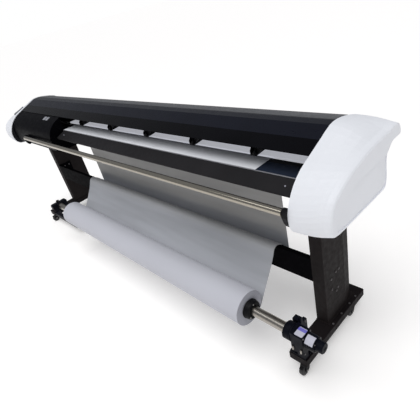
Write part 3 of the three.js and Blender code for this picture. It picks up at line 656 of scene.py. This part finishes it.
# ---------------------------------------------------------------- body details
for k in range(2):
    label(f"station_badge_{k + 1}", (-862 + 50 * k, -150, 1049.4), 40, 34, (0, -0.371, 0.928),
          (0, 0.928, 0.371), "badge", "machine")
turned("bearing_knob", [(0, 0), (6, 0), (6, 4), (12, 5), (13, 6.5), (13, 15), (11.5, 16.5),
                        (0, 16.5)],
       (-928, ROLL_Y, 372.2), "plastic", "machine", axis="Z", segs=32)
turned("shaft_collar", [(24.3, 0), (30, 0), (31, 1), (31, 11), (30, 12), (24.3, 12)],
       (-900, ROLL_Y, ROLL_Z), "drive", "roll", segs=48, closed=True)
bolt("apron_screw", (1376, -172, 951.3), (0, -0.37, 0.93), "machine", r=3.2, mat="label")
bolt("apron_screw_left", (-560, -172, 951.3), (0, -0.37, 0.93), "machine", r=3.2, mat="label")
for k in range(9):
    x = -1180 + k * 295
    for name, z in (("rear_vent", 896), ("rear_vent_low", 880)):
        block(f"{name}_{k + 1}", (x, 137.2, z), (x + 120, 140.0, z + 5), "gloss", "machine",
              bevel=0.0008)
for k in range(3):
    z = 893 + 5 * (k % 2)
    x = 1307 + 7 * k
    block(f"inlet_pin_{k + 1}", (x, 141.6, z), (x + 2, 146.0, z + 7), "bolt", "machine",
          bevel=0.0003)

# ---------------------------------------------------------------- stage, light and camera
def area(name, location, target, size, power):
    """A soft rectangular lamp; places and sizes in metres, power in watts."""
    data = bpy.data.lights.new(name, "AREA")
    data.shape = "RECTANGLE"
    data.size, data.size_y = size
    data.energy = power
    obj = bpy.data.objects.new(name, data)
    bpy.context.scene.collection.objects.link(obj)
    obj.location = location
    obj.rotation_euler = (Vector(target) - Vector(location)).to_track_quat("-Z", "Y").to_euler()


floor_mesh = bpy.data.meshes.new("floor")
FAR = 90                                  # metres, so that no edge of the floor shows
floor_mesh.from_pydata([(-FAR, -FAR, 0), (FAR, -FAR, 0), (FAR, FAR, 0), (-FAR, FAR, 0)], [],
                       [(0, 1, 2, 3)])
floor = bpy.data.objects.new("floor", floor_mesh)
bpy.context.scene.collection.objects.link(floor)
pale = finish_of("floor_pale", (0.83, 0.82, 0.81, 1), 0.95, grain=300, bump=0.02, vary=0.01,
                 specular=0.05)
pale.bsdf.inputs["Emission Color"].default_value = (1, 0.985, 0.97, 1)
pale.bsdf.inputs["Emission Strength"].default_value = 0.32
floor_mesh.materials.append(pale.mat)

world = bpy.data.worlds.new("studio")
world.use_nodes = True
tree = world.node_tree
ambient = tree.nodes["Background"]
ambient.inputs["Color"].default_value = (0.93, 0.95, 1.0, 1)
ambient.inputs["Strength"].default_value = 0.31
plain = tree.nodes.new("ShaderNodeBackground")
plain.inputs["Color"].default_value = (1, 1, 1, 1)
plain.inputs["Strength"].default_value = 1.0
seen = tree.nodes.new("ShaderNodeLightPath")
choice = tree.nodes.new("ShaderNodeMixShader")
tree.links.new(seen.outputs["Is Camera Ray"], choice.inputs[0])
tree.links.new(ambient.outputs[0], choice.inputs[1])
tree.links.new(plain.outputs[0], choice.inputs[2])
tree.links.new(choice.outputs[0], tree.nodes["World Output"].inputs["Surface"])
bpy.context.scene.world = world
area("key", (-0.6, -2.6, 4.6), (0.2, 0, 0.8), (3.5, 1.2), 26)
area("fill", (4.6, -0.6, 2.6), (1.2, 0, 0.7), (2.0, 2.0), 2)
overhead = bpy.data.lights.new("overhead", "SUN")
overhead.energy = 1.75
overhead.angle = math.radians(40)
overhead_obj = bpy.data.objects.new("overhead", overhead)
bpy.context.scene.collection.objects.link(overhead_obj)
overhead_obj.rotation_euler = Vector((-0.12, 0.22, -1)).to_track_quat("-Z", "Y").to_euler()

LENS = 32.07
LOOK = Vector((-0.68501, 0.52021, -0.51005))
ROLL = math.radians(14.9)
cam_data = bpy.data.cameras.new("camera")
cam_data.lens = LENS
cam_data.sensor_width = 36
cam_data.shift_x = 0.001
cam_data.shift_y = 0.003
cam_data.clip_start = 0.05
camera = bpy.data.objects.new("camera", cam_data)
bpy.context.scene.collection.objects.link(camera)
camera.location = P(2153, -1132, 1643)
camera.rotation_mode = "QUATERNION"
camera.rotation_quaternion = Quaternion(LOOK, ROLL) @ LOOK.to_track_quat("-Z", "Y")
bpy.context.scene.camera = camera
bpy.context.scene.view_settings.view_transform = "Standard"
